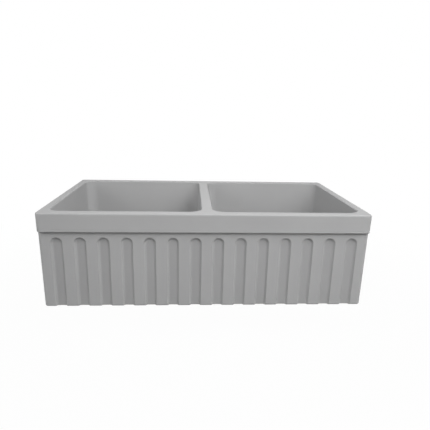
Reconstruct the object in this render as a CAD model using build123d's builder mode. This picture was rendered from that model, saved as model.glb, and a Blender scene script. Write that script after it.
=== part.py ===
"""Reversible farmhouse apron front sink: one fireclay body with two bowls, and a basket
strainer with its tailpiece in each bowl.

Frame: millimetres, +Z up, +X to the right of someone who faces the fluted apron, which looks
along -Y. The origin is the centre of the flat underside that rests on the cabinet."""

from build123d import *
from math import hypot, radians, tan
import os

os.makedirs("parts", exist_ok=True)

# ---------------------------------------------------------------- fireclay body
SINK_WIDTH = 838.0  # 33 in
SINK_DEPTH = 457.0  # 18 in, over the lips of both aprons
SINK_HEIGHT = 254.0  # 10 in
MOULD_DRAFT = 0.6  # degrees, every outer wall leans in towards the base
PLAN_CORNER = 10.0
TOP_EDGE = 5.0
BASE_EDGE = 5.0
LIP_HEIGHT = 50.0
LIP_PROUD = 8.0
LIP_EDGE = 2.5

RIM_WIDTH = 23.0
DIVIDER_WIDTH = 28.0
BOWL_CORNER = 34.0
BOWL_DRAFT = 2.0  # degrees
BOWL_TOP_EDGE = 3.5
FLOOR_CORNER = 22.0
FLOOR_AT_OUTLET = 27.0
FLOOR_FALL = 1.3  # degrees, from the walls down to the outlet

FLUTE_COUNT = 14
FLUTE_PITCH = 57.6
FLUTE_WIDTH = 30.0
FLUTE_DEPTH = 7.0
FLUTE_FLANK = 28.0  # degrees that each flank slopes away from square
FLUTE_FLOOR_EDGE = 5.5
FLUTE_ARRIS = 1.2
FLUTE_TOP_GAP = 15.0  # from the lip down to the top of each arch

OUTLET_BORE = 46.0
FLANGE_SEAT_RADIUS = 59.0
FLANGE_SEAT_DEPTH = 3.0
NUT_POCKET_RADIUS = 62.0
NUT_POCKET_DEPTH = 8.0

BOWL_WIDTH = (SINK_WIDTH - 2 * RIM_WIDTH - DIVIDER_WIDTH) / 2
BOWL_LENGTH = SINK_DEPTH - 2 * RIM_WIDTH
BOWL_X = (BOWL_WIDTH + DIVIDER_WIDTH) / 2
LEAN = tan(radians(MOULD_DRAFT))
APRON_DEPTH = SINK_DEPTH - 2 * LIP_PROUD
FLUTE_FLOOR_WIDTH = FLUTE_WIDTH - 2 * FLUTE_DEPTH * tan(radians(FLUTE_FLANK))

# ---------------------------------------------------------------- 3 1/2 in basket strainer
FLANGE_RADIUS = 57.0
FLANGE_THICKNESS = 1.4
FLANGE_CHAMFER = 0.7
FLANGE_SEAL_THICKNESS = 1.6
FLANGE_SEAL_WIDTH = 8.0
CUP_RADIUS = 42.2  # over the thread
CUP_WALL = 2.0
LEDGE_Z = 16.0  # the step on which the basket's rim sits
LEDGE_WIDTH = 1.8
CUP_FLOOR_Z = -22.0
CUP_CORNER = 8.0
NECK_RADIUS = 23.6
NECK_BORE = 19.5
NECK_END_Z = -40.0
SPIDER_Z = -31.0
SPIDER_HEIGHT = 3.0
SPIDER_ARM = 3.0
SPIDER_HUB = 9.0
SPIDER_BORE = 6.2

GASKET_RADIUS = 54.5
GASKET_THICKNESS = 4.0
WASHER_THICKNESS = 1.2
NUT_HEIGHT = 9.0
NUT_FLANGE_RADIUS = 52.5
NUT_FLANGE_THICKNESS = 2.5
NUT_RING_RADIUS = 49.0
NUT_LUG_RADIUS = 53.5
NUT_LUG_WIDTH = 14.0
NUT_LUG_COUNT = 6
THREAD_FIT = 0.05

TAILPIECE_RADIUS = 19.05  # 1 1/2 in outside
TAILPIECE_NECKED_RADIUS = 18.6  # inside the coupling nut
TAILPIECE_BORE = 17.85
TAILPIECE_FLANGE_RADIUS = 22.9
TAILPIECE_FLANGE_THICKNESS = 1.4
TAILPIECE_LENGTH = 60.0
TAIL_WASHER_THICKNESS = 2.0
COUPLING_ACROSS_FLATS = 56.0
COUPLING_HEIGHT = 18.0
COUPLING_LIP = 2.6
COUPLING_BORE = 19.3
COUPLING_CHAMFER = 1.5

BASKET_RIM_RADIUS = 39.8
BASKET_TOP_RADIUS = 37.6
BASKET_FLOOR_RADIUS = 32.0
BASKET_SHEET = 0.8
BASKET_CORNER = 2.0
BASKET_FLOOR_Z = -8.0
BASKET_COLLAR_RADIUS = 7.0
BASKET_COLLAR_HEIGHT = 4.0
BASKET_HOLE = 2.3
BASKET_HOLE_RINGS = ((12.5, 8), (19.0, 12), (25.5, 16))  # ring radius, holes
BASKET_SLOT_COUNT = 20
BASKET_SLOT_WIDTH = 3.0
BASKET_SLOT_HEIGHT = 10.0
BASKET_SLOT_Z = 5.0

POST_RADIUS = 4.2
POST_FIT = 0.06
POST_TOP_Z = 22.0
POST_END_Z = -33.0
POST_SHOULDER_RADIUS = 8.0
POST_SHOULDER_HEIGHT = 1.5
SEAL_RADIUS = 27.0
SEAL_THICKNESS = 4.0
SEAL_LIFT = 0.2  # the seal's lip is drawn just clear of the cup's floor
SEAL_EDGE = 1.5
RETAINER_RADIUS = 12.0
RETAINER_THICKNESS = 1.2
CLIP_RADIUS = 5.7
CLIP_HEIGHT = 4.0
CLIP_GROOVE = 0.8
KNOB_RADIUS = 12.0
KNOB_WAIST = 7.5
KNOB_HEIGHT = 14.0
KNOB_TOP_ABOVE_POST = 4.0
KNOB_EDGE = 2.5
KNOB_CROWN = 1.25

SEAT_Z = FLOOR_AT_OUTLET - FLANGE_SEAT_DEPTH
FLANGE_Z = SEAT_Z + FLANGE_SEAL_THICKNESS
CUP_BORE = CUP_RADIUS - CUP_WALL
CUP_LOWER_BORE = CUP_BORE - LEDGE_WIDTH
GASKET_Z = NUT_POCKET_DEPTH - GASKET_THICKNESS
WASHER_Z = GASKET_Z - WASHER_THICKNESS
NUT_Z = WASHER_Z - NUT_HEIGHT
TAIL_WASHER_Z = NECK_END_Z - TAIL_WASHER_THICKNESS
TAILPIECE_FLANGE_Z = TAIL_WASHER_Z - TAILPIECE_FLANGE_THICKNESS
COUPLING_Z = TAILPIECE_FLANGE_Z - COUPLING_LIP
SEAL_Z = CUP_FLOOR_Z + SEAL_LIFT
SHOULDER_Z = SEAL_Z + SEAL_THICKNESS
KNOB_Z = POST_TOP_Z + KNOB_TOP_ABOVE_POST - KNOB_HEIGHT


# ================================================================ the fireclay body

# The space inside one bowl: drafted walls, round corners, and a floor that falls to the outlet
with BuildPart() as bowl_space:
    with BuildSketch(Plane(origin=(0, 0, SINK_HEIGHT), z_dir=(0, 0, -1))):
        RectangleRounded(BOWL_WIDTH, BOWL_LENGTH, BOWL_CORNER)
    extrude(amount=SINK_HEIGHT - FLOOR_AT_OUTLET, taper=BOWL_DRAFT)
    reach = hypot(BOWL_WIDTH, BOWL_LENGTH) / 2
    rise = (reach - FLANGE_SEAT_RADIUS) * tan(radians(FLOOR_FALL))
    with BuildSketch(Plane.XZ):
        with BuildLine():
            Polyline(
                (0, FLOOR_AT_OUTLET),
                (FLANGE_SEAT_RADIUS, FLOOR_AT_OUTLET),
                (reach, FLOOR_AT_OUTLET + rise),
                (reach, SINK_HEIGHT),
                (0, SINK_HEIGHT),
                close=True,
            )
        make_face()
    revolve(axis=Axis.Z, mode=Mode.INTERSECT)
    low_edges = bowl_space.edges().filter_by_position(Axis.Z, 0, FLOOR_AT_OUTLET + rise)
    fillet(low_edges.filter_by(GeomType.CIRCLE, reverse=True), FLOOR_CORNER)

# What one flute takes away: an arched channel with a flat floor, flanks that open outwards and
# rounded corners between them. The centre of its arch is the origin, and the apron is above it
with BuildPart() as flute_space:
    arch_radius = FLUTE_FLOOR_WIDTH / 2
    with BuildSketch(Plane.XY):
        with BuildLine():
            Polyline((-arch_radius, 0), (-arch_radius, -SINK_HEIGHT), (arch_radius, -SINK_HEIGHT), (arch_radius, 0))
            ThreePointArc((arch_radius, 0), (0, arch_radius), (-arch_radius, 0))
        make_face()
    extrude(amount=2 * FLUTE_DEPTH, taper=-FLUTE_FLANK)
    floor_edges = flute_space.faces().sort_by(Axis.Z)[0].edges()
    fillet(floor_edges.sort_by(Axis.Y)[1:], FLUTE_FLOOR_EDGE)

# The band that stands proud of both aprons and lies flush with the short sides
with BuildPart() as lip_band:
    with BuildSketch(Plane(origin=(0, 0, SINK_HEIGHT), z_dir=(0, 0, -1))):
        RectangleRounded(SINK_WIDTH, SINK_DEPTH, PLAN_CORNER)
    extrude(amount=LIP_HEIGHT, taper=MOULD_DRAFT)
    fillet(lip_band.edges().group_by(Axis.Z)[0], LIP_EDGE)

with BuildPart() as sink_body:
    with BuildSketch(Plane(origin=(0, 0, SINK_HEIGHT), z_dir=(0, 0, -1))):
        RectangleRounded(SINK_WIDTH, APRON_DEPTH, PLAN_CORNER)
    extrude(amount=SINK_HEIGHT, taper=MOULD_DRAFT)
    fillet(sink_body.edges().group_by(Axis.Z)[0], BASE_EDGE)

    # Flutes run down the leaning face of the front apron and out through its foot
    arch_z = SINK_HEIGHT - LIP_HEIGHT - FLUTE_TOP_GAP - FLUTE_WIDTH / 2
    apron_y = -APRON_DEPTH / 2 + (SINK_HEIGHT - arch_z) * LEAN
    apron = Plane(origin=(0, apron_y, arch_z), x_dir=(1, 0, 0), z_dir=(0, -1, -LEAN))
    with Locations(apron.offset(-FLUTE_DEPTH)):
        with GridLocations(FLUTE_PITCH, 1, FLUTE_COUNT, 1):
            add(flute_space.part, mode=Mode.SUBTRACT)
    arcs = sink_body.edges().filter_by(GeomType.CIRCLE)
    arches = arcs.filter_by_position(Axis.Z, arch_z, SINK_HEIGHT - LIP_HEIGHT)
    fillet(arches.group_by(SortBy.LENGTH)[-1], FLUTE_ARRIS)

    add(lip_band.part)
    fillet(sink_body.edges().group_by(Axis.Z)[-1], TOP_EDGE)

    with Locations((-BOWL_X, 0, 0), (BOWL_X, 0, 0)):
        add(bowl_space.part, mode=Mode.SUBTRACT)
    rim = sink_body.faces().sort_by(Axis.Z)[-1]
    fillet(rim.inner_wires().edges(), BOWL_TOP_EDGE)

    # Each outlet has a seat for the strainer's flange above and a pocket for its nut below
    with Locations((-BOWL_X, 0, FLOOR_AT_OUTLET), (BOWL_X, 0, FLOOR_AT_OUTLET)):
        CounterBoreHole(OUTLET_BORE, FLANGE_SEAT_RADIUS, FLANGE_SEAT_DEPTH, SINK_HEIGHT)
    with BuildSketch(Plane.XY):
        with Locations((-BOWL_X, 0), (BOWL_X, 0)):
            Circle(NUT_POCKET_RADIUS)
    extrude(amount=NUT_POCKET_DEPTH, mode=Mode.SUBTRACT)

sink_body.part.label = "sink_body"
export_step(sink_body.part, "parts/sink_body.step")


# ================================================================ one basket strainer, on the Z axis

# Pressed cup: flange, threaded barrel, the basket's ledge, outlet neck and cross of four arms
with BuildPart() as strainer_body:
    flange_top = FLANGE_Z + FLANGE_THICKNESS
    barrel_foot = CUP_FLOOR_Z - CUP_WALL
    with BuildSketch(Plane.XZ) as cup_profile:
        with BuildLine():
            Polyline(
                (NECK_BORE, NECK_END_Z),
                (NECK_RADIUS, NECK_END_Z),
                (NECK_RADIUS, barrel_foot),
                (CUP_RADIUS, barrel_foot),
                (CUP_RADIUS, FLANGE_Z),
                (FLANGE_RADIUS, FLANGE_Z),
                (FLANGE_RADIUS, flange_top),
                (CUP_BORE, flange_top),
                (CUP_BORE, LEDGE_Z),
                (CUP_LOWER_BORE, LEDGE_Z),
                (CUP_LOWER_BORE, CUP_FLOOR_Z),
                (NECK_BORE, CUP_FLOOR_Z),
                close=True,
            )
        make_face()
        corners = cup_profile.vertices()
        fillet(corners.sort_by_distance((CUP_RADIUS, barrel_foot))[0], CUP_CORNER + CUP_WALL)
        fillet(corners.sort_by_distance((CUP_LOWER_BORE, CUP_FLOOR_Z))[0], CUP_CORNER)
        fillet(corners.sort_by_distance((CUP_BORE, flange_top))[0], CUP_WALL)
        chamfer(corners.sort_by_distance((FLANGE_RADIUS, flange_top))[0], FLANGE_CHAMFER)
    revolve(axis=Axis.Z)
    with BuildSketch(Plane.XY.offset(SPIDER_Z)):
        Rectangle(2 * NECK_BORE + CUP_WALL, SPIDER_ARM)
        Rectangle(SPIDER_ARM, 2 * NECK_BORE + CUP_WALL)
        Circle(SPIDER_HUB)
        Circle(SPIDER_BORE, mode=Mode.SUBTRACT)
    extrude(amount=SPIDER_HEIGHT)

# Ring of putty bedded under the flange
with BuildPart() as flange_seal:
    with BuildSketch(Plane.XY.offset(SEAT_Z)):
        Circle(FLANGE_RADIUS - FLANGE_THICKNESS)
        Circle(FLANGE_RADIUS - FLANGE_THICKNESS - FLANGE_SEAL_WIDTH, mode=Mode.SUBTRACT)
    extrude(amount=FLANGE_SEAL_THICKNESS)

# Rubber gasket and fibre washer between the fireclay and the nut
with BuildPart() as sink_gasket:
    with BuildSketch(Plane.XY.offset(GASKET_Z)):
        Circle(GASKET_RADIUS)
        Circle(CUP_RADIUS + THREAD_FIT, mode=Mode.SUBTRACT)
    extrude(amount=GASKET_THICKNESS)

with BuildPart() as friction_washer:
    with BuildSketch(Plane.XY.offset(WASHER_Z)):
        Circle(GASKET_RADIUS - WASHER_THICKNESS)
        Circle(CUP_RADIUS + WASHER_THICKNESS, mode=Mode.SUBTRACT)
    extrude(amount=WASHER_THICKNESS)

# Cast ring nut: a flange that bears on the washer, and lugs for the wrench
with BuildPart() as lock_nut:
    with BuildSketch(Plane.XY.offset(NUT_Z)):
        Circle(NUT_RING_RADIUS)
        with PolarLocations(NUT_LUG_RADIUS / 2, NUT_LUG_COUNT):
            Rectangle(NUT_LUG_RADIUS, NUT_LUG_WIDTH)
    extrude(amount=NUT_HEIGHT)
    with BuildSketch(Plane.XY.offset(WASHER_Z)):
        Circle(NUT_FLANGE_RADIUS)
    extrude(amount=-NUT_FLANGE_THICKNESS)
    Hole(CUP_RADIUS + THREAD_FIT)

with BuildPart() as tailpiece_washer:
    with BuildSketch(Plane.XY.offset(TAIL_WASHER_Z)):
        Circle(TAILPIECE_FLANGE_RADIUS)
        Circle(NECK_BORE, mode=Mode.SUBTRACT)
    extrude(amount=TAIL_WASHER_THICKNESS)

# Flanged tube, drawn in a little where the coupling nut passes over it
with BuildPart() as tailpiece:
    tube_end = TAIL_WASHER_Z - TAILPIECE_LENGTH
    neck_end = COUPLING_Z - COUPLING_LIP
    with BuildSketch(Plane.XZ):
        with BuildLine():
            Polyline(
                (TAILPIECE_BORE, tube_end),
                (TAILPIECE_RADIUS, tube_end),
                (TAILPIECE_RADIUS, neck_end),
                (TAILPIECE_NECKED_RADIUS, neck_end),
                (TAILPIECE_NECKED_RADIUS, TAILPIECE_FLANGE_Z),
                (TAILPIECE_FLANGE_RADIUS, TAILPIECE_FLANGE_Z),
                (TAILPIECE_FLANGE_RADIUS, TAIL_WASHER_Z),
                (TAILPIECE_BORE, TAIL_WASHER_Z),
                close=True,
            )
        make_face()
    revolve(axis=Axis.Z)

# Hexagonal slip nut that draws the tailpiece's flange up to the neck
with BuildPart() as coupling_nut:
    with BuildSketch(Plane.XY.offset(COUPLING_Z)):
        RegularPolygon(COUPLING_ACROSS_FLATS / 2, 6, major_radius=False)
    extrude(amount=COUPLING_HEIGHT)
    chamfer(coupling_nut.edges().group_by(Axis.Z)[0], COUPLING_CHAMFER)
    with BuildSketch(Plane.XY.offset(COUPLING_Z)):
        Circle(COUPLING_BORE)
    extrude(amount=COUPLING_HEIGHT, mode=Mode.SUBTRACT)
    with BuildSketch(Plane.XY.offset(TAILPIECE_FLANGE_Z)):
        Circle(NECK_RADIUS + THREAD_FIT)
    extrude(amount=COUPLING_HEIGHT, mode=Mode.SUBTRACT)

# Drawn sheet basket: rolled rim, tapered wall with slots, drilled floor and a collar for the post
with BuildPart() as basket_cup:
    with BuildSketch(Plane.XZ) as sheet:
        with BuildLine():
            Polyline(
                (BASKET_RIM_RADIUS, LEDGE_Z),
                (BASKET_TOP_RADIUS, LEDGE_Z),
                (BASKET_FLOOR_RADIUS, BASKET_FLOOR_Z),
                (POST_RADIUS + POST_FIT, BASKET_FLOOR_Z),
                (POST_RADIUS + POST_FIT, BASKET_FLOOR_Z + BASKET_COLLAR_HEIGHT),
                (BASKET_COLLAR_RADIUS, BASKET_FLOOR_Z + BASKET_COLLAR_HEIGHT),
                (BASKET_COLLAR_RADIUS, BASKET_FLOOR_Z + BASKET_SHEET),
                (BASKET_FLOOR_RADIUS - BASKET_SHEET, BASKET_FLOOR_Z + BASKET_SHEET),
                (BASKET_TOP_RADIUS - BASKET_SHEET, LEDGE_Z + BASKET_SHEET),
                (BASKET_RIM_RADIUS, LEDGE_Z + BASKET_SHEET),
                close=True,
            )
        make_face()
        corners = sheet.vertices()
        fillet(corners.sort_by_distance((BASKET_FLOOR_RADIUS, BASKET_FLOOR_Z))[0], BASKET_CORNER)
        inner_corner = (BASKET_FLOOR_RADIUS - BASKET_SHEET, BASKET_FLOOR_Z + BASKET_SHEET)
        fillet(corners.sort_by_distance(inner_corner)[0], BASKET_CORNER - BASKET_SHEET)
    revolve(axis=Axis.Z)
    for ring_radius, hole_count in BASKET_HOLE_RINGS:
        with BuildSketch(Plane.XY.offset(BASKET_FLOOR_Z)):
            with PolarLocations(ring_radius, hole_count):
                RegularPolygon(BASKET_HOLE, 6)
        extrude(amount=BASKET_SHEET, mode=Mode.SUBTRACT)
    with PolarLocations(BASKET_TOP_RADIUS, BASKET_SLOT_COUNT):
        with Locations((0, 0, BASKET_SLOT_Z)):
            Box(BASKET_TOP_RADIUS / 2, BASKET_SLOT_WIDTH, BASKET_SLOT_HEIGHT, mode=Mode.SUBTRACT)

# Post: a rod with a shoulder over the seal and a groove for the spring clip
with BuildPart() as stopper_post:
    clip_z = SPIDER_Z - (CLIP_HEIGHT - SPIDER_HEIGHT) / 2
    with BuildSketch(Plane.XY.offset(POST_END_Z)):
        Circle(POST_RADIUS)
    extrude(amount=POST_TOP_Z - POST_END_Z)
    with BuildSketch(Plane.XY.offset(SHOULDER_Z)):
        Circle(POST_SHOULDER_RADIUS)
    extrude(amount=POST_SHOULDER_HEIGHT)
    with BuildSketch(Plane.XY.offset(clip_z)):
        Circle(POST_RADIUS)
        Circle(POST_RADIUS - CLIP_GROOVE, mode=Mode.SUBTRACT)
    extrude(amount=CLIP_HEIGHT, mode=Mode.SUBTRACT)
    chamfer(stopper_post.edges().group_by(Axis.Z)[0], CLIP_GROOVE)

# Rubber disc that closes the outlet
with BuildPart() as stopper_seal:
    with BuildSketch(Plane.XY.offset(SEAL_Z)):
        Circle(SEAL_RADIUS)
        Circle(POST_RADIUS, mode=Mode.SUBTRACT)
    extrude(amount=SEAL_THICKNESS)
    fillet(stopper_seal.edges().group_by(Axis.Z)[-1].sort_by(SortBy.LENGTH)[-1], SEAL_EDGE)

with BuildPart() as seal_retainer:
    with BuildSketch(Plane.XY.offset(SEAL_Z - RETAINER_THICKNESS)):
        Circle(RETAINER_RADIUS)
        Circle(POST_RADIUS, mode=Mode.SUBTRACT)
    extrude(amount=RETAINER_THICKNESS)

# Spring clip in the post's groove: a barrel-shaped split ring
with BuildPart() as post_clip:
    with BuildSketch(Plane.XZ):
        with BuildLine():
            inner = POST_RADIUS - CLIP_GROOVE
            Line((inner, clip_z), (POST_RADIUS, clip_z))
            ThreePointArc(
                (POST_RADIUS, clip_z),
                (CLIP_RADIUS, clip_z + CLIP_HEIGHT / 2),
                (POST_RADIUS, clip_z + CLIP_HEIGHT),
            )
            Line((POST_RADIUS, clip_z + CLIP_HEIGHT), (inner, clip_z + CLIP_HEIGHT))
            Line((inner, clip_z + CLIP_HEIGHT), (inner, clip_z))
        make_face()
    revolve(axis=Axis.Z, revolution_arc=330)

# Turned knob: waisted for the fingers, with a crowned top
with BuildPart() as stopper_knob:
    with BuildSketch(Plane.XZ):
        with BuildLine():
            knob_top = KNOB_Z + KNOB_HEIGHT
            edge_centre = (KNOB_RADIUS - KNOB_EDGE, knob_top - KNOB_CROWN - KNOB_EDGE)
            edge_top = (edge_centre[0], edge_centre[1] + KNOB_EDGE)
            edge_foot = (edge_centre[0], edge_centre[1] - KNOB_EDGE)
            Polyline((0, POST_TOP_Z), (0, knob_top), edge_top)
            ThreePointArc(edge_top, (KNOB_RADIUS, edge_centre[1]), edge_foot)
            Polyline(
                edge_foot,
                (KNOB_WAIST, KNOB_Z + KNOB_EDGE),
                (KNOB_WAIST, KNOB_Z),
                (POST_RADIUS, KNOB_Z),
                (POST_RADIUS, POST_TOP_Z),
                (0, POST_TOP_Z),
            )
        make_face()
    revolve(axis=Axis.Z)

strainer_pieces = {
    "strainer_body": strainer_body,
    "flange_seal": flange_seal,
    "sink_gasket": sink_gasket,
    "friction_washer": friction_washer,
    "lock_nut": lock_nut,
    "tailpiece_washer": tailpiece_washer,
    "tailpiece": tailpiece,
    "coupling_nut": coupling_nut,
    "basket_cup": basket_cup,
    "stopper_post": stopper_post,
    "stopper_seal": stopper_seal,
    "seal_retainer": seal_retainer,
    "post_clip": post_clip,
    "stopper_knob": stopper_knob,
}

for side, outlet_x in (("left", -BOWL_X), ("right", BOWL_X)):
    for piece_name, piece in strainer_pieces.items():
        placed = Pos(outlet_x, 0, 0) * piece.part
        placed.label = f"{side}_{piece_name}"
        export_step(placed, f"parts/{placed.label}.step")
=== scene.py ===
"""Looks of the farmhouse apron front sink: its camera, lamps, finishes and fine strainer pieces."""
from math import cos, pi, radians, sin

import bpy
from mathutils import Matrix, Vector


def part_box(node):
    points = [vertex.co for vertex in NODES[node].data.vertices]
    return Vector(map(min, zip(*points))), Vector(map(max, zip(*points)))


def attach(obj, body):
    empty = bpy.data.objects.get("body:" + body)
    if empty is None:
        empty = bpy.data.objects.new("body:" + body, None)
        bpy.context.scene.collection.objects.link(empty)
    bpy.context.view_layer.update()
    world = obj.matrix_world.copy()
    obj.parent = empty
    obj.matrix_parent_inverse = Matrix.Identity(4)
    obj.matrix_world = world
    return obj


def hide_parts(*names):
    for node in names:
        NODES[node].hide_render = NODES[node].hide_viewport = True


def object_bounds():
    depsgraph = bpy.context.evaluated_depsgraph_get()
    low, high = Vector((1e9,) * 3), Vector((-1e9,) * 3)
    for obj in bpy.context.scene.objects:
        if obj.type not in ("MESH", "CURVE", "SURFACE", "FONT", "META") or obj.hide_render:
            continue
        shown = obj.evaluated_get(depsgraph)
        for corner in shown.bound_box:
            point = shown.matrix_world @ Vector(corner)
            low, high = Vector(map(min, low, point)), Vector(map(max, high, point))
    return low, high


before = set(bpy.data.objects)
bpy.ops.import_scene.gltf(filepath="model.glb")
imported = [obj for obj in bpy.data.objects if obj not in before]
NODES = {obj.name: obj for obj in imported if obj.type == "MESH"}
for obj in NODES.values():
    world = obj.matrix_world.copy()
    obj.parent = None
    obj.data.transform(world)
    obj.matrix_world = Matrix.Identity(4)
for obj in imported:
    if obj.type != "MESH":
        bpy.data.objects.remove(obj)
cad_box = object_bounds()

MM = 0.001

# ---------------------------------------------------------------- sizes read from the frame
CUP_LOW, CUP_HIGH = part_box("right_strainer_body")
BOWL_X = (CUP_LOW.x + CUP_HIGH.x) / 2
OUTLET_X = {"left": -BOWL_X, "right": BOWL_X}
NECK_END = round(CUP_LOW.z / MM, 2)
FLANGE_TOP = round(CUP_HIGH.z / MM, 2)
FLANGE_RADIUS = round((CUP_HIGH.x - BOWL_X) / MM, 1)
FLOOR_Z = cad_box[0].z - 2 * MM

# ---------------------------------------------------------------- strainer sizes, millimetres
FLANGE_THICKNESS = 1.4
FLANGE_TOP_EDGE = 0.9
FLANGE_UNDER_EDGE = 0.2
FLANGE_BAND = 5.0  # width of the raised band round the flange
FLANGE_BAND_SLOPE = 0.5
FLANGE_DIP = 0.25  # how far the flange lies lower inside the band
MOUTH_RING = 1.0  # from the mouth's rounding out to a ring of edges that keeps the flange flat
BARREL_CREST = 42.15  # over the thread
BARREL_THREAD_DEPTH = 0.9
BARREL_THREAD = (-12.6, 23.4)  # heights of its ends
BARREL_RELIEF = (0.2, 0.4)  # plain core below and above the thread
NECK_CREST = 23.55
NECK_THREAD_DEPTH = 0.7
NECK_THREAD = (-39.4, -26.2)
NECK_RELIEF = 0.6
THREAD_PITCH = 2.2
THREAD_ROOT_SHARE = 0.86  # of the pitch
THREAD_CREST_SHARE = 0.2  # of the root
THREAD_SINK = 0.2  # how far a thread reaches into its core
THREAD_RUNOUT = 0.6  # height over which a core widens above its thread
CUP_BORE = 40.2
CUP_WALL = 2.0
CUP_FLOOR = -22.0
CUP_CORNER = 8.0
LEDGE_Z = 16.0
LEDGE_BORE = 38.4
LEDGE_EDGE = 0.4
NECK_BORE = 19.5
NECK_ENTRY = 1.0  # rounding where the floor turns down into the neck
NECK_EDGE = 0.5
NECK_EDGE_RISE = 0.6  # height of the neck's outer edge, before the thread
NECK_COVE = 0.8  # slope between neck and floor, outside
HUB_BORE = 6.2
HUB_RADIUS = 9.0
HUB_INNER_EDGE = 0.3
HUB_OUTER_EDGE = 0.4
ARM_Z = (-31.0, -28.0)
ARM_WIDTH = 3.0
ARM_EDGE = 0.5
ARM_COUNT = 4
ARM_INTO_HUB = 0.5
ARM_INTO_NECK = 0.8
CUP_SMOOTHING = 32  # degrees; sharper edges stay sharp

SHEET = 0.8  # thickness of the basket's steel
BASKET_RIM = 39.8
BASKET_RIM_EDGE = 0.3
BASKET_RIM_BEND = 1.2
BASKET_RIM_BEND_CENTRE = 37.6
BASKET_UNDER_RIM = ((37.3, LEDGE_Z - 0.6), (37.75, LEDGE_Z))  # outside, where the wall turns out to the rim
BASKET_FLOOR = -8.0
BASKET_FOOT_BEND = (1.2, 2.0)  # radius inside and outside
BASKET_FOOT_CENTRE = (29.95, BASKET_FLOOR + BASKET_FOOT_BEND[1])
BASKET_WALL_FOOT = ((31.3, -5.9), (32.15, -5.8))  # inside and outside, where the wall leaves the bend
COLLAR_RADIUS = 7.0
COLLAR_BORE = 4.26
COLLAR_TOP = -4.0
COLLAR_BEND = 0.8
COLLAR_EDGE = 0.5
COLLAR_BORE_EDGE = 0.3
BASKET_SMOOTHING = 30
HOLE_RADIUS = 2.2
HOLE_DEPTH = 3.0  # of the bit
HOLE_RINGS = ((12.5, 8), (19.0, 12), (25.5, 16))  # ring radius, holes
SLOT_COUNT = 20
SLOT_DEPTH = 12.0  # of the bar that cuts it, along the radius
SLOT_WIDTH = 3.0
SLOT_HEIGHT = 10.0
SLOT_ROUNDING = 0.48  # of the width, which leaves a small flat
SLOT_Z = 5.0
SLOT_RADIUS = 34.0

WELD = 0.004  # points nearer than this are one
FINE_SIDES = 120
THREAD_SIDES = 72
SMALL_SIDES = 48
HOLE_SIDES = 20

# ---------------------------------------------------------------- camera
SENSOR_WIDTH = 36.0
CAMERA_LENS = 34.005
CAMERA_CLIP = (0.05, 50.0)
CAMERA_PLACE = (-0.0436, -1.1946, 0.5113)
CAMERA_PITCH = 15.013  # degrees down
CAMERA_YAW = 3.633  # degrees towards +X
CAMERA_ROLL = 1.359  # degrees

# ---------------------------------------------------------------- lamps and floor
SINK_MIDDLE = (0, 0, 0.15)
LAMPS = {  # place, aim, side in metres, watts
    "key_low": ((0.8, -1.7, 1.47), SINK_MIDDLE, 0.9, 23.0),
    "key_high": ((0.6, -1.28, 1.96), SINK_MIDDLE, 0.9, 13.5),
    "front_high": ((0.0, -3.28, 2.44), SINK_MIDDLE, 1.8, 9.0),
    "left_high": ((-2.84, -1.64, 2.44), SINK_MIDDLE, 1.8, 18.5),
    "right_high": ((2.97, -1.39, 2.44), SINK_MIDDLE, 1.8, 33.5),
    "left_low": ((-3.14, -0.84, 1.46), SINK_MIDDLE, 1.6, 42.5),
    "right_low": ((3.14, -0.84, 1.46), SINK_MIDDLE, 1.6, 12.0),
    "overhead": ((0.1, -0.25, 1.15), (0.1, -0.25, 0.15), 0.5, 2.6),
    "back_low": ((0.0, 3.4, 1.0), SINK_MIDDLE, 1.6, 12.0),
}
WORLD_GREY = 0.18
FLOOR_SIDE = 12.0
FLOOR_PALE = 0.3
FLOOR_ROUGHNESS = 0.9
FLOOR_WHITE_SHARE = 0.98  # near the sink, where the floor keeps a shadow
FLOOR_FADE = (0.55, 1.3)  # metres from the middle, from that share to all white

# ---------------------------------------------------------------- colours, from dark to light
GLAZE = ((0.333, 0.333, 0.335), (0.347, 0.347, 0.348))
GLAZE_PIT = (0.30, 0.30, 0.30)
CLAY = ((0.52, 0.46, 0.37), (0.66, 0.6, 0.5))
SPUN_STEEL = ((0.56, 0.56, 0.55), (0.67, 0.67, 0.66))
BASKET_STEEL = ((0.54, 0.54, 0.53), (0.66, 0.66, 0.65))
POST_STEEL = ((0.5, 0.5, 0.5), (0.6, 0.6, 0.6))
SPRING_STEEL = ((0.44, 0.44, 0.46), (0.56, 0.56, 0.56))
PIPE_CHROME = ((0.68, 0.68, 0.685), (0.76, 0.76, 0.76))
KNOB_CHROME = ((0.71, 0.71, 0.72), (0.79, 0.79, 0.8))
CAST_BRASS = ((0.46, 0.335, 0.15), (0.66, 0.51, 0.25))
RUBBED_BRASS = (0.83, 0.69, 0.4)
RUBBER = ((0.016, 0.016, 0.017), (0.042, 0.041, 0.04))
FIBRE = ((0.31, 0.085, 0.045), (0.52, 0.165, 0.085))
NYLON = ((0.62, 0.62, 0.57), (0.78, 0.78, 0.75))
PUTTY = ((0.29, 0.27, 0.22), (0.41, 0.39, 0.335))

# ---------------------------------------------------------------- where finishes change, metres
BARE_UNDERSIDE = (0.0012, 0.0019)  # height at which the glaze begins
BARE_WANDER = 0.0016  # how far that edge strays
POCKET_WALL = (0.0622, 0.0628)  # radius of the unglazed pocket round an outlet
POCKET_ROOF = (0.0082, 0.0086)  # height up to which that pocket is bare
NUT_LUGS = (0.0516, 0.0532)  # radius at which the lock nut's lugs begin
RING_WAVER = 0.00015  # how far turned lines stray from true circles


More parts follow.
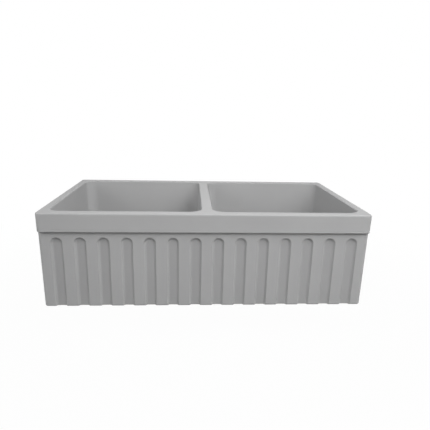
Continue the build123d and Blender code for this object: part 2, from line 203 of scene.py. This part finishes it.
# ---------------------------------------------------------------- nodes of materials and effects
class Bench:
    """Places and joins the nodes of one material, world or effect."""

    def __init__(self, tree):
        self.nodes = tree.nodes
        self.links = tree.links
        self.vector = None  # the place that patterns read; effects and finishes set it

    def put(self, kind, **settings):
        node = self.nodes.new(kind)
        for key, value in settings.items():
            setattr(node, key, value)
        return node

    def feed(self, socket, value):
        if isinstance(value, bpy.types.NodeSocket):
            self.links.new(value, socket)
        elif value is not None:
            socket.default_value = value

    def feed_all(self, node, **values):
        """Feeds the sockets named, and gives the node's first output."""
        for label, value in values.items():
            self.feed(node.inputs[label.replace("_", " ").title()], value)
        return node.outputs[0]

    def work_out(self, operation, first, second=None, third=None):
        node = self.put("ShaderNodeMath", operation=operation)
        for socket, value in zip(node.inputs, (first, second, third)):
            self.feed(socket, value)
        return node.outputs[0]

    def one_minus(self, value):
        return self.work_out("SUBTRACT", 1.0, value)

    def weigh(self, first, share, second):
        """Adds two masks, the first with its share and the second with the rest."""
        return self.work_out("MULTIPLY_ADD", first, share, self.work_out("MULTIPLY", second, 1.0 - share))

    def fade(self, value, low, high, at_low=0.0, at_high=1.0):
        """at_low below low, at_high above high, and smooth between them."""
        node = self.put("ShaderNodeMapRange", interpolation_type="SMOOTHSTEP")
        return self.feed_all(node, value=value, from_min=low, from_max=high, to_min=at_low, to_max=at_high)

    def spread(self, mask, low, high):
        """Turns a 0 to 1 mask into a value between low and high."""
        return self.feed_all(self.put("ShaderNodeMapRange"), value=mask, to_min=low, to_max=high)

    def blend(self, mask, first, second):
        """Mixes two colours; the Mix node keeps its colour sockets at 6 and 7."""
        node = self.put("ShaderNodeMix", data_type="RGBA")
        for socket, value in ((node.inputs[0], mask), (node.inputs[6], first), (node.inputs[7], second)):
            if isinstance(value, tuple):
                value = (*value, 1)
            self.feed(socket, value)
        return node.outputs[2]

    def noise(self, vector, scale, detail=2.0, roughness=0.5):
        node = self.put("ShaderNodeTexNoise")
        return self.feed_all(node, vector=vector, scale=scale, detail=detail, roughness=roughness)

    def bump(self, height, distance, normal=None):
        return self.feed_all(self.put("ShaderNodeBump"), height=height, distance=distance, normal=normal)

    def mix_shaders(self, share, first, second):
        node = self.put("ShaderNodeMixShader")
        for socket, value in zip(node.inputs, (share, first, second)):
            self.feed(socket, value)
        return node.outputs[0]

    def shared(self, name, **values):
        """Places a shared effect and gives its outputs."""
        node = self.put("ShaderNodeGroup", node_tree=bpy.data.node_groups[name])
        self.feed(node.inputs["Vector"], self.vector)
        for label, value in values.items():
            self.feed(node.inputs[label.replace("_", " ").capitalize()], value)
        return node.outputs

    def seen_directly(self):
        """1 where the camera, a mirror or a clear piece sees a surface, 0 where it only gives light."""
        ray = self.put("ShaderNodeLightPath").outputs
        seen = self.work_out("MAXIMUM", ray["Is Camera Ray"], ray["Is Glossy Ray"])
        return self.work_out("MAXIMUM", seen, ray["Is Transmission Ray"])


class Effect(Bench):
    """One shared effect: a node group that reads a place and puts out masks."""

    def __init__(self, name, outputs, **values):
        group = bpy.data.node_groups.new(name, "ShaderNodeTree")
        super().__init__(group)
        sockets = group.interface
        sockets.new_socket("Vector", in_out="INPUT", socket_type="NodeSocketVector")
        for label, value in values.items():
            label = label.replace("_", " ").capitalize()
            sockets.new_socket(label, in_out="INPUT", socket_type="NodeSocketFloat").default_value = value
        for label in outputs:
            sockets.new_socket(label, in_out="OUTPUT", socket_type="NodeSocketFloat")
        self.given = self.put("NodeGroupInput").outputs
        self.result = self.put("NodeGroupOutput").inputs
        self.vector = self.given["Vector"]

    def give(self, label, value):
        self.feed(self.result[label], value)


class Finish(Bench):
    """One material, with patterns that read Object coordinates."""

    def __init__(self, name, roughness, metallic=0.0, specular=0.5):
        self.material = bpy.data.materials.new(name)
        self.material.use_nodes = True
        super().__init__(self.material.node_tree)
        self.shader = self.nodes["Principled BSDF"]
        self.shader.inputs["Roughness"].default_value = roughness
        self.shader.inputs["Metallic"].default_value = metallic
        self.shader.inputs["Specular IOR Level"].default_value = specular
        self.vector = self.put("ShaderNodeTexCoord").outputs["Object"]

    def coat(self, colour, roughness, normal):
        """Gives the surface its colour, gloss and relief, and returns the material."""
        self.feed_all(self.shader, base_color=colour, roughness=roughness, normal=normal)
        return self.material


# ---------------------------------------------------------------- camera, lamps and floor
def make_camera():
    data = bpy.data.cameras.new("catalogue_camera")
    data.sensor_width = SENSOR_WIDTH
    data.lens = CAMERA_LENS
    data.clip_start, data.clip_end = CAMERA_CLIP
    camera = bpy.data.objects.new("catalogue_camera", data)
    bpy.context.collection.objects.link(camera)
    turn = Matrix.Rotation(radians(-CAMERA_YAW), 4, "Z")
    tilt = Matrix.Rotation(radians(90 - CAMERA_PITCH), 4, "X")
    roll = Matrix.Rotation(radians(CAMERA_ROLL), 4, "Z")
    camera.matrix_world = Matrix.Translation(CAMERA_PLACE) @ turn @ tilt @ roll
    bpy.context.scene.camera = camera


def make_lamp(name, place, aim, side, watts):
    data = bpy.data.lights.new(name, "AREA")
    data.shape = "SQUARE"
    data.size = side
    data.energy = watts
    lamp = bpy.data.objects.new(name, data)
    bpy.context.collection.objects.link(lamp)
    lamp.location = place
    lamp.rotation_mode = "QUATERNION"
    lamp.rotation_quaternion = (Vector(aim) - Vector(place)).to_track_quat("-Z", "Y")


def make_world():
    """A room that lights the sink softly and is seen as white."""
    world = bpy.data.worlds.new("studio")
    bpy.context.scene.world = world
    world.use_nodes = True
    bench = Bench(world.node_tree)
    bench.nodes.clear()
    grey = (WORLD_GREY, WORLD_GREY, WORLD_GREY, 1)
    ambient = bench.feed_all(bench.put("ShaderNodeBackground"), color=grey)
    white = bench.feed_all(bench.put("ShaderNodeBackground"), color=(1, 1, 1, 1))
    out = bench.put("ShaderNodeOutputWorld")
    bench.feed(out.inputs["Surface"], bench.mix_shaders(bench.seen_directly(), ambient, white))


def floor_finish():
    """Pale sweep that looks white, keeps a faint shadow near the sink and is clear from below."""
    floor = Finish("studio_floor_white", FLOOR_ROUGHNESS)
    floor.feed(floor.shader.inputs["Base Color"], (FLOOR_PALE, FLOOR_PALE, FLOOR_PALE, 1))
    reach = floor.put("ShaderNodeVectorMath", operation="LENGTH")
    floor.feed(reach.inputs[0], floor.vector)
    white_share = floor.fade(reach.outputs["Value"], *FLOOR_FADE, FLOOR_WHITE_SHARE, 1.0)
    glowing = floor.work_out("MULTIPLY", floor.seen_directly(), white_share)
    glow = floor.put("ShaderNodeEmission").outputs[0]
    from_above = floor.mix_shaders(glowing, floor.shader.outputs[0], glow)
    from_below = floor.put("ShaderNodeNewGeometry").outputs["Backfacing"]
    clear = floor.put("ShaderNodeBsdfTransparent").outputs[0]
    surface = floor.nodes["Material Output"].inputs["Surface"]
    floor.feed(surface, floor.mix_shaders(from_below, from_above, clear))
    return floor.material


def make_floor():
    start_fresh()
    bpy.ops.mesh.primitive_plane_add(size=FLOOR_SIDE, location=(0, 0, FLOOR_Z))
    floor = bpy.context.active_object
    floor.name = "studio_floor"
    bpy.ops.object.transform_apply(location=True)
    floor.data.materials.append(floor_finish())


# ---------------------------------------------------------------- tools for new pieces
def start_fresh():
    """Leaves edit mode and deselects everything."""
    if bpy.context.object and bpy.context.object.mode != "OBJECT":
        bpy.ops.object.mode_set(mode="OBJECT")
    bpy.ops.object.select_all(action="DESELECT")


def pick(*pieces):
    """Selects these pieces alone and makes the first one active."""
    start_fresh()
    for piece in pieces:
        piece.select_set(True)
    bpy.context.view_layer.objects.active = pieces[0]


def open_all_of(piece):
    """Goes into edit mode on a piece with all of it selected."""
    pick(piece)
    bpy.ops.object.mode_set(mode="EDIT")
    bpy.ops.mesh.select_all(action="SELECT")


def arc(centre, radius, start, end, count):
    """Points on a corner of an outline, from one angle to the other in degrees."""
    angles = [radians(start + (end - start) * step / count) for step in range(count + 1)]
    return [(centre[0] + radius * cos(a), centre[1] + radius * sin(a)) for a in angles]


def turn_on_lathe(name, outline, sides):
    """Draws a ring of edges along a closed outline of (radius, height) points in millimetres."""
    start_fresh()
    radius, height = outline[0]
    bpy.ops.mesh.primitive_circle_add(vertices=sides, radius=radius * MM, location=(0, 0, height * MM))
    piece = bpy.context.active_object
    piece.name = piece.data.name = name
    bpy.ops.object.transform_apply(location=True)
    open_all_of(piece)
    for next_radius, next_height in outline[1:] + outline[:1]:
        rise = (0, 0, (next_height - height) * MM)
        bpy.ops.mesh.extrude_edges_move(TRANSFORM_OT_translate={"value": rise})
        grow = next_radius / radius
        bpy.ops.transform.resize(value=(grow, grow, 1), center_override=(0, 0, next_height * MM))
        radius, height = next_radius, next_height
    bpy.ops.mesh.select_all(action="SELECT")
    bpy.ops.mesh.remove_doubles(threshold=WELD * MM)
    bpy.ops.mesh.normals_make_consistent(inside=False)
    bpy.ops.object.mode_set(mode="OBJECT")
    return piece


def wind_thread(name, crest, depth, low, high):
    """One ridge wound round the Z axis, sunk a little into the core that carries it."""
    start_fresh()
    bpy.ops.mesh.primitive_plane_add(size=1)
    ridge = bpy.context.active_object
    ridge.name = ridge.data.name = name
    height = depth + THREAD_SINK
    ridge.rotation_euler = (pi / 2, 0, 0)
    ridge.scale = (height * MM, THREAD_ROOT_SHARE * THREAD_PITCH * MM, 1)
    ridge.location = ((crest - height / 2) * MM, 0, (low + THREAD_PITCH / 2) * MM)
    bpy.ops.object.transform_apply(location=True, rotation=True, scale=True)
    for corner in ridge.data.vertices:
        corner.select = corner.co.x > (crest - depth / 2) * MM
    for side in ridge.data.edges:
        side.select = all(ridge.data.vertices[end].select for end in side.vertices)
    for face in ridge.data.polygons:
        face.select = False
    bpy.ops.object.mode_set(mode="EDIT")
    bpy.ops.transform.resize(value=(1, 1, THREAD_CREST_SHARE))
    bpy.ops.mesh.select_all(action="SELECT")
    bpy.ops.mesh.delete(type="ONLY_FACE")
    bpy.ops.object.mode_set(mode="OBJECT")
    winding = ridge.modifiers.new("winding", "SCREW")
    winding.axis = "Z"
    winding.screw_offset = THREAD_PITCH * MM
    winding.iterations = int((high - low) / THREAD_PITCH)
    winding.steps = winding.render_steps = THREAD_SIDES
    bpy.ops.object.modifier_apply(modifier="winding")
    open_all_of(ridge)
    bpy.ops.mesh.fill_holes(sides=0)
    bpy.ops.mesh.select_all(action="SELECT")
    bpy.ops.mesh.normals_make_consistent(inside=False)
    bpy.ops.object.mode_set(mode="OBJECT")
    return ridge


def make_bar(centre, size):
    """A square-edged bar along X, in millimetres."""
    start_fresh()
    bpy.ops.mesh.primitive_cube_add(size=1, location=[value * MM for value in centre])
    bar = bpy.context.active_object
    bar.scale = [value * MM for value in size]
    bpy.ops.object.transform_apply(location=True, scale=True)
    return bar


def ring_of_copies(first, count, start=0.0):
    """Copies a piece round the Z axis and joins the copies to it."""
    copies = [first]
    for index in range(1, count):
        copy = first.copy()
        copy.data = first.data.copy()
        bpy.context.collection.objects.link(copy)
        copy.rotation_euler = (0, 0, start + 2 * pi * index / count)
        copies.append(copy)
    first.rotation_euler = (0, 0, start)
    pick(*copies)
    bpy.ops.object.transform_apply(rotation=True)
    bpy.ops.object.join()
    return bpy.context.active_object


def cut_away(piece, cutter):
    """Takes the cutter's shape out of a piece, and the cutter out of the scene."""
    cut = piece.modifiers.new("cut", "BOOLEAN")
    cut.operation = "DIFFERENCE"
    cut.solver = "EXACT"
    cut.object = cutter
    pick(piece)
    bpy.ops.object.modifier_apply(modifier="cut")
    bpy.data.objects.remove(cutter)


def clear_slivers(piece):
    """Splits the many-sided faces that the cuts leave, and dissolves those with no width."""
    open_all_of(piece)
    bpy.ops.mesh.remove_doubles(threshold=WELD * MM)
    bpy.ops.mesh.quads_convert_to_tris(quad_method="BEAUTY", ngon_method="BEAUTY")
    bpy.ops.mesh.dissolve_degenerate(threshold=WELD * MM)
    bpy.ops.object.mode_set(mode="OBJECT")


def soften_shading(piece, degrees):
    pick(piece)
    bpy.ops.object.shade_smooth_by_angle(angle=radians(degrees))


def fit_both_outlets(piece, name, body, node, material):
    """One copy over each outlet, each with its own mesh, in place of the plain node."""
    piece.data.materials.clear()
    piece.data.materials.append(material)
    for side, outlet_x in OUTLET_X.items():
        copy = piece.copy()
        copy.data = piece.data.copy()
        copy.name = copy.data.name = f"{side}_{name}"
        bpy.context.collection.objects.link(copy)
        copy.location = (outlet_x, 0, 0)
        pick(copy)
        bpy.ops.object.transform_apply(location=True)
        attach(copy, body.format(side=side))
        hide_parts(f"{side}_{node}")
    bpy.data.objects.remove(piece)


# ---------------------------------------------------------------- the strainer's cup
def turn_cup():
    """The pressed cup: flange, barrel, ledge, floor and neck, drawn from the neck's mouth up and back."""
    barrel_core = BARREL_CREST - BARREL_THREAD_DEPTH
    neck_core = NECK_CREST - NECK_THREAD_DEPTH
    under_floor = CUP_FLOOR - CUP_WALL
    outer_corner = CUP_CORNER + CUP_WALL
    flange_under = FLANGE_TOP - FLANGE_THICKNESS
    flange_low = FLANGE_TOP - FLANGE_DIP
    neck_widens = NECK_THREAD[1] + NECK_RELIEF
    barrel_widens = BARREL_THREAD[1] + BARREL_RELIEF[1]
    return turn_on_lathe("threaded_cup", [
        (NECK_BORE, NECK_END + NECK_EDGE),
        (NECK_BORE + NECK_EDGE, NECK_END),
        (neck_core - NECK_EDGE, NECK_END),
        (neck_core, NECK_END + NECK_EDGE_RISE),
        (neck_core, neck_widens),
        (NECK_CREST, neck_widens + THREAD_RUNOUT),
        (NECK_CREST, under_floor - NECK_COVE),
        (NECK_CREST + NECK_COVE, under_floor),
        *arc((BARREL_CREST - outer_corner, under_floor + outer_corner), outer_corner, -90, -12, 10),
        (barrel_core, BARREL_THREAD[0] - BARREL_RELIEF[0]),
        (barrel_core, barrel_widens),
        (BARREL_CREST, barrel_widens + THREAD_RUNOUT),
        (BARREL_CREST, flange_under),
        (FLANGE_RADIUS - FLANGE_UNDER_EDGE, flange_under),
        (FLANGE_RADIUS, flange_under + FLANGE_UNDER_EDGE),
        *arc((FLANGE_RADIUS - FLANGE_TOP_EDGE, FLANGE_TOP - FLANGE_TOP_EDGE), FLANGE_TOP_EDGE, 10, 90, 5),
        (FLANGE_RADIUS - FLANGE_BAND, FLANGE_TOP),
        (FLANGE_RADIUS - FLANGE_BAND - FLANGE_BAND_SLOPE, flange_low),
        (CUP_BORE + CUP_WALL + MOUTH_RING, flange_low),
        *arc((CUP_BORE + CUP_WALL, flange_low - CUP_WALL), CUP_WALL, 90, 180, 6),
        (CUP_BORE, LEDGE_Z + LEDGE_EDGE),
        (CUP_BORE - LEDGE_EDGE, LEDGE_Z),
        (LEDGE_BORE + LEDGE_EDGE, LEDGE_Z),
        (LEDGE_BORE, LEDGE_Z - LEDGE_EDGE),
        *arc((LEDGE_BORE - CUP_CORNER, CUP_FLOOR + CUP_CORNER), CUP_CORNER, 0, -90, 10),
        (NECK_BORE + NECK_ENTRY, CUP_FLOOR),
        *arc((NECK_BORE + NECK_ENTRY, CUP_FLOOR - NECK_ENTRY), NECK_ENTRY, 110, 180, 4),
    ], FINE_SIDES)


def turn_hub():
    """The ring in the middle of the cross, which the stopper's post runs through."""
    low, high = ARM_Z
    return turn_on_lathe("arm_hub", [
        (HUB_BORE, low + HUB_INNER_EDGE),
        (HUB_BORE + HUB_INNER_EDGE, low),
        (HUB_RADIUS - HUB_OUTER_EDGE, low),
        (HUB_RADIUS, low + HUB_OUTER_EDGE),
        (HUB_RADIUS, high - HUB_OUTER_EDGE),
        (HUB_RADIUS - HUB_OUTER_EDGE, high),
        (HUB_BORE + HUB_INNER_EDGE, high),
        (HUB_BORE, high - HUB_INNER_EDGE),
    ], SMALL_SIDES)


def make_arms():
    """The cross's four arms, from inside the hub out into the neck's wall."""
    low, high = ARM_Z
    start = HUB_RADIUS - ARM_INTO_HUB
    reach = NECK_BORE + ARM_INTO_NECK - start
    arm = make_bar((start + reach / 2, 0, (low + high) / 2), (reach, ARM_WIDTH, high - low))
    rounding = arm.modifiers.new("rounding", "BEVEL")
    rounding.width = ARM_EDGE * MM
    rounding.segments = 3
    bpy.ops.object.modifier_apply(modifier="rounding")
    return ring_of_copies(arm, ARM_COUNT)


def make_threaded_cup(material):
    """The strainer's pressed cup, with the threads that its nuts run on."""
    cup = turn_cup()
    barrel_ridge = wind_thread("barrel_ridge", BARREL_CREST, BARREL_THREAD_DEPTH, *BARREL_THREAD)
    neck_ridge = wind_thread("neck_ridge", NECK_CREST, NECK_THREAD_DEPTH, *NECK_THREAD)
    hub = turn_hub()
    arms = make_arms()
    pick(cup, barrel_ridge, neck_ridge, hub, arms)
    bpy.ops.object.join()
    soften_shading(cup, CUP_SMOOTHING)
    fit_both_outlets(cup, "threaded_cup", "sink", "strainer_body", material)


# ---------------------------------------------------------------- the lift-out basket
def turn_basket():
    """The basket's sheet before drilling: rim, wall, floor and collar, along the inside and back."""
    bend_inside, bend_outside = BASKET_FOOT_BEND
    foot_inside, foot_outside = BASKET_WALL_FOOT
    collar_foot = COLLAR_RADIUS + COLLAR_BEND
    floor_top = BASKET_FLOOR + SHEET
    rim_top = LEDGE_Z + SHEET
    return turn_on_lathe("drilled_basket", [
        (BASKET_RIM - BASKET_RIM_EDGE, LEDGE_Z),
        (BASKET_RIM, LEDGE_Z + BASKET_RIM_EDGE),
        (BASKET_RIM, rim_top - BASKET_RIM_EDGE),
        (BASKET_RIM - BASKET_RIM_EDGE, rim_top),
        *arc((BASKET_RIM_BEND_CENTRE, rim_top - BASKET_RIM_BEND), BASKET_RIM_BEND, 90, 166, 5),
        foot_inside,
        *arc(BASKET_FOOT_CENTRE, bend_inside, -10, -90, 5),
        (collar_foot, floor_top),
        *arc((collar_foot, floor_top + COLLAR_BEND), COLLAR_BEND, 250, 190, 3),
        (COLLAR_RADIUS, COLLAR_TOP - COLLAR_EDGE),
        (COLLAR_RADIUS - COLLAR_EDGE, COLLAR_TOP),
        (COLLAR_BORE + COLLAR_BORE_EDGE, COLLAR_TOP),
        (COLLAR_BORE, COLLAR_TOP - COLLAR_BORE_EDGE),
        (COLLAR_BORE, BASKET_FLOOR + COLLAR_BORE_EDGE),
        (COLLAR_BORE + COLLAR_BORE_EDGE, BASKET_FLOOR),
        *arc(BASKET_FOOT_CENTRE, bend_outside, -90, -10, 6),
        foot_outside,
        *BASKET_UNDER_RIM,
    ], FINE_SIDES)


def ring_of_holes(ring_radius, hole_count):
    """The bits that drill one ring of holes in the basket's floor."""
    start_fresh()
    place = (ring_radius * MM, 0, (BASKET_FLOOR + SHEET / 2) * MM)
    bpy.ops.mesh.primitive_cylinder_add(
        vertices=HOLE_SIDES, radius=HOLE_RADIUS * MM, depth=HOLE_DEPTH * MM, location=place)
    bpy.ops.object.transform_apply(location=True)
    return ring_of_copies(bpy.context.active_object, hole_count, pi / hole_count)


def ring_of_slots():
    """The bars, rounded above and below, that cut the slots in the basket's wall."""
    bar = make_bar((SLOT_RADIUS, 0, SLOT_Z), (SLOT_DEPTH, SLOT_WIDTH, SLOT_HEIGHT))
    for edge in bar.data.edges:
        a, b = (bar.data.vertices[end].co for end in edge.vertices)
        edge.select = abs(a.x - b.x) > SLOT_DEPTH * MM / 2
    bpy.ops.object.mode_set(mode="EDIT")
    bpy.ops.mesh.bevel(offset=SLOT_ROUNDING * SLOT_WIDTH * MM, segments=4, affect="EDGES")
    bpy.ops.object.mode_set(mode="OBJECT")
    return ring_of_copies(bar, SLOT_COUNT, pi / SLOT_COUNT)


def make_drilled_basket(material):
    """The lift-out basket: thin drawn sheet, drilled floor and a wall of round-ended slots."""
    basket = turn_basket()
    for ring_radius, hole_count in HOLE_RINGS:
        cut_away(basket, ring_of_holes(ring_radius, hole_count))
    cut_away(basket, ring_of_slots())
    clear_slivers(basket)
    soften_shading(basket, BASKET_SMOOTHING)
    fit_both_outlets(basket, "drilled_basket", "{side}_basket", "basket_cup", material)


# ---------------------------------------------------------------- shared effects
def make_outlet_place_effect():
    """Distance from the nearest outlet's axis, and height, both in metres."""
    effect = Effect("outlet_place", ["Radius", "Height"])
    split = effect.put("ShaderNodeSeparateXYZ")
    effect.feed(split.inputs[0], effect.vector)
    from_axis = effect.work_out("SUBTRACT", effect.work_out("ABSOLUTE", split.outputs[0]), BOWL_X)
    squares = effect.work_out(
        "ADD",
        effect.work_out("POWER", effect.work_out("ABSOLUTE", from_axis), 2.0),
        effect.work_out("POWER", effect.work_out("ABSOLUTE", split.outputs[1]), 2.0),
    )
    effect.give("Radius", effect.work_out("SQRT", squares))
    effect.give("Height", split.outputs[2])


def make_turned_lines_effect():
    """Fine rings left by spinning or turning a piece about its outlet's axis."""
    effect = Effect("turned_lines", ["Lines"], lines=2500.0)
    lines_per_metre = effect.given["Lines"]
    place = effect.shared("outlet_place")
    drift = effect.noise(effect.vector, 60.0, 1.0)
    moved = effect.work_out("MULTIPLY_ADD", drift, RING_WAVER, place["Radius"])
    line = effect.put("ShaderNodeCombineXYZ")
    effect.feed(line.inputs[0], effect.work_out("MULTIPLY", moved, lines_per_metre))
    effect.feed(line.inputs[1], effect.work_out("MULTIPLY", place["Height"], lines_per_metre))
    effect.give("Lines", effect.noise(line.outputs[0], 1.0, 3.0, 0.65))


def make_surface_grain_effect():
    """Broad cloud, fine speckle and soft ripple masks, each around one half."""
    effect = Effect(
        "surface_grain", ["Cloud", "Speckle", "Ripple"],
        cloud_scale=8.0, speckle_scale=900.0, ripple_scale=220.0)
    for label, detail, roughness in (("Cloud", 3.0, 0.55), ("Speckle", 2.0, 0.7), ("Ripple", 1.0, 0.4)):
        effect.give(label, effect.noise(effect.vector, effect.given[f"{label} scale"], detail, roughness))


def make_handling_marks_effect():
    """Faint smears and dry water marks on bright metal, mostly near zero."""
    effect = Effect("handling_marks", ["Marks"], scale=45.0)
    scale = effect.given["Scale"]
    smear = effect.fade(effect.noise(effect.vector, scale, 4.0, 0.6), 0.52, 0.72)
    spot_scale = effect.work_out("MULTIPLY", scale, 5.0)
    spots = effect.fade(effect.noise(effect.vector, spot_scale, 1.0, 0.3), 0.66, 0.74)
    effect.give("Marks", effect.work_out("MAXIMUM", smear, effect.work_out("MULTIPLY", spots, 0.6)))


# ---------------------------------------------------------------- finishes
def fireclay_finish():
    """Matte grey glaze with a soft bloom, and bare clay on the underside that sat on the kiln shelf."""
    clay = Finish("matte_grey_glaze", 0.5, specular=0.2)
    grain = clay.shared("surface_grain", cloud_scale=7.0, speckle_scale=1100.0, ripple_scale=150.0)
    glaze_tone = clay.fade(clay.weigh(grain["Speckle"], 0.45, grain["Cloud"]), 0.35, 0.65)
    pits = clay.fade(clay.noise(clay.vector, 420.0, 0.0), 0.78, 0.84)
    glaze = clay.blend(clay.work_out("MULTIPLY", pits, 0.5), clay.blend(glaze_tone, *GLAZE), GLAZE_PIT)

    place = clay.shared("outlet_place")
    wander = clay.noise(clay.vector, 90.0, 3.0)
    ragged = clay.work_out("MULTIPLY_ADD", wander, BARE_WANDER, place["Height"])
    underside = clay.one_minus(clay.fade(ragged, *BARE_UNDERSIDE))
    within_wall = clay.one_minus(clay.fade(place["Radius"], *POCKET_WALL))
    under_roof = clay.one_minus(clay.fade(place["Height"], *POCKET_ROOF))
    bare = clay.work_out("MAXIMUM", underside, clay.work_out("MULTIPLY", within_wall, under_roof))
    clay_tone = clay.fade(clay.weigh(grain["Speckle"], 0.5, grain["Cloud"]), 0.38, 0.62)

    satin = clay.spread(clay.fade(grain["Cloud"], 0.3, 0.7), 0.6, 0.68)
    ripple = clay.bump(grain["Ripple"], 0.05 * MM)
    return clay.coat(
        clay.blend(bare, glaze, clay.blend(clay_tone, *CLAY)),
        clay.work_out("MULTIPLY_ADD", bare, 0.35, satin),
        clay.bump(grain["Speckle"], clay.spread(bare, 0.008 * MM, 0.12 * MM), ripple),
    )


def turned_steel_finish(name, tones, rough, lines, line_height):
    """Stainless sheet or bar with the rings of its spinning or turning."""
    steel = Finish(name, rough[0], 1.0)
    rings = steel.shared("turned_lines", lines=lines)["Lines"]
    marks = steel.shared("handling_marks")["Marks"]
    return steel.coat(
        steel.blend(steel.fade(rings, 0.25, 0.75), *tones),
        steel.work_out("MULTIPLY_ADD", marks, 0.08, steel.spread(rings, *rough)),
        steel.bump(rings, line_height),
    )


def bright_plate_finish(name, tones, rough):
    """Polished plating: nearly a mirror, with faint smears and a slow wave in the surface."""
    plate = Finish(name, rough[0], 1.0)
    marks = plate.shared("handling_marks", scale=70.0)["Marks"]
    grain = plate.shared("surface_grain", cloud_scale=40.0, ripple_scale=120.0)
    return plate.coat(
        plate.blend(grain["Cloud"], *tones),
        plate.spread(marks, *rough),
        plate.bump(grain["Ripple"], 0.01 * MM),
    )


def cast_metal_finish():
    """Sand-cast brass of the lock nut: grainy skin, paler where the wrench bears on its lugs."""
    brass = Finish("cast_nut_metal", 0.45, 1.0)
    grain = brass.shared("surface_grain", cloud_scale=60.0, speckle_scale=1300.0, ripple_scale=500.0)
    on_lugs = brass.fade(brass.shared("outlet_place")["Radius"], *NUT_LUGS)
    rubbed = brass.work_out("MULTIPLY", on_lugs, brass.fade(grain["Ripple"], 0.3, 0.6))
    skin = brass.blend(brass.fade(grain["Cloud"], 0.3, 0.7), *CAST_BRASS)
    dull = brass.spread(grain["Speckle"], 0.36, 0.6)
    pebbled = brass.bump(grain["Speckle"], 0.07 * MM)
    return brass.coat(
        brass.blend(rubbed, skin, RUBBED_BRASS),
        brass.work_out("MULTIPLY_ADD", rubbed, -0.18, dull),
        brass.bump(grain["Ripple"], 0.12 * MM, pebbled),
    )


def rubber_finish():
    """Moulded black rubber with a dusty bloom and faint mould rings."""
    rubber = Finish("black_rubber", 0.6, specular=0.35)
    grain = rubber.shared("surface_grain", cloud_scale=90.0, speckle_scale=1800.0)
    rings = rubber.shared("turned_lines", lines=900.0)["Lines"]
    bloom = rubber.fade(rubber.weigh(grain["Speckle"], 0.3, grain["Cloud"]), 0.42, 0.7)
    moulded = rubber.bump(rings, 0.02 * MM)
    return rubber.coat(
        rubber.blend(bloom, *RUBBER),
        rubber.spread(grain["Cloud"], 0.5, 0.74),
        rubber.bump(grain["Speckle"], 0.015 * MM, moulded),
    )


def fibre_finish():
    """Pressed red fibre board, with short strands lying in its plane."""
    fibre = Finish("red_fibre", 0.8, specular=0.3)
    grain = fibre.shared("surface_grain", cloud_scale=120.0, speckle_scale=2200.0)
    lay = fibre.put("ShaderNodeMapping")
    along = fibre.feed_all(lay, vector=fibre.vector, scale=(1.0, 7.0, 7.0), rotation=(0, 0, 0.5))
    strands = fibre.noise(along, 260.0, 3.0, 0.7)
    return fibre.coat(
        fibre.blend(fibre.fade(strands, 0.35, 0.65), *FIBRE),
        fibre.spread(grain["Speckle"], 0.7, 0.9),
        fibre.bump(strands, 0.05 * MM),
    )


def nylon_finish():
    """Moulded natural nylon, a little waxy."""
    nylon = Finish("natural_nylon", 0.4, specular=0.45)
    grain = nylon.shared("surface_grain", cloud_scale=150.0, speckle_scale=1600.0)
    return nylon.coat(
        nylon.blend(grain["Cloud"], *NYLON),
        nylon.spread(grain["Cloud"], 0.32, 0.5),
        nylon.bump(grain["Speckle"], 0.01 * MM),
    )


def putty_finish():
    """Hand-pressed putty under the flange: soft lumps and a dry skin."""
    putty = Finish("grey_putty", 0.7, specular=0.3)
    grain = putty.shared("surface_grain", cloud_scale=70.0, speckle_scale=900.0, ripple_scale=260.0)
    tone = putty.fade(putty.weigh(grain["Speckle"], 0.4, grain["Cloud"]), 0.35, 0.65)
    pressed = putty.bump(grain["Ripple"], 0.25 * MM)
    return putty.coat(
        putty.blend(tone, *PUTTY),
        putty.spread(grain["Speckle"], 0.58, 0.82),
        putty.bump(grain["Speckle"], 0.03 * MM, pressed),
    )


def make_finishes():
    """The finish of each node, by the node's name without its side."""
    make_outlet_place_effect()
    make_turned_lines_effect()
    make_surface_grain_effect()
    make_handling_marks_effect()
    rubber = rubber_finish()
    plate = bright_plate_finish("chromed_brass", PIPE_CHROME, (0.07, 0.2))
    post = turned_steel_finish("turned_post_steel", POST_STEEL, (0.2, 0.32), 3500.0, 0.01 * MM)
    spun = turned_steel_finish("spun_stainless", SPUN_STEEL, (0.2, 0.34), 2600.0, 0.012 * MM)
    drawn = turned_steel_finish("drawn_basket_steel", BASKET_STEEL, (0.18, 0.3), 2000.0, 0.01 * MM)
    spring = turned_steel_finish("spring_steel", SPRING_STEEL, (0.26, 0.36), 1800.0, 0.01 * MM)
    return {
        "sink_body": fireclay_finish(),
        "strainer_body": spun,
        "basket_cup": drawn,
        "stopper_post": post,
        "seal_retainer": post,
        "post_clip": spring,
        "stopper_knob": bright_plate_finish("knob_chrome", KNOB_CHROME, (0.05, 0.15)),
        "tailpiece": plate,
        "coupling_nut": plate,
        "lock_nut": cast_metal_finish(),
        "sink_gasket": rubber,
        "stopper_seal": rubber,
        "friction_washer": fibre_finish(),
        "tailpiece_washer": nylon_finish(),
        "flange_seal": putty_finish(),
    }


# ---------------------------------------------------------------- the scene
make_camera()
make_world()
make_floor()
for lamp_name, settings in LAMPS.items():
    make_lamp(lamp_name, *settings)

finishes = make_finishes()
for node_name, node in NODES.items():
    plain_name = node_name.removeprefix("left_").removeprefix("right_")
    for material_slot in node.material_slots:
        material_slot.material = finishes[plain_name]

make_threaded_cup(finishes["strainer_body"])
make_drilled_basket(finishes["basket_cup"])

bpy.context.scene.view_settings.view_transform = "Standard"
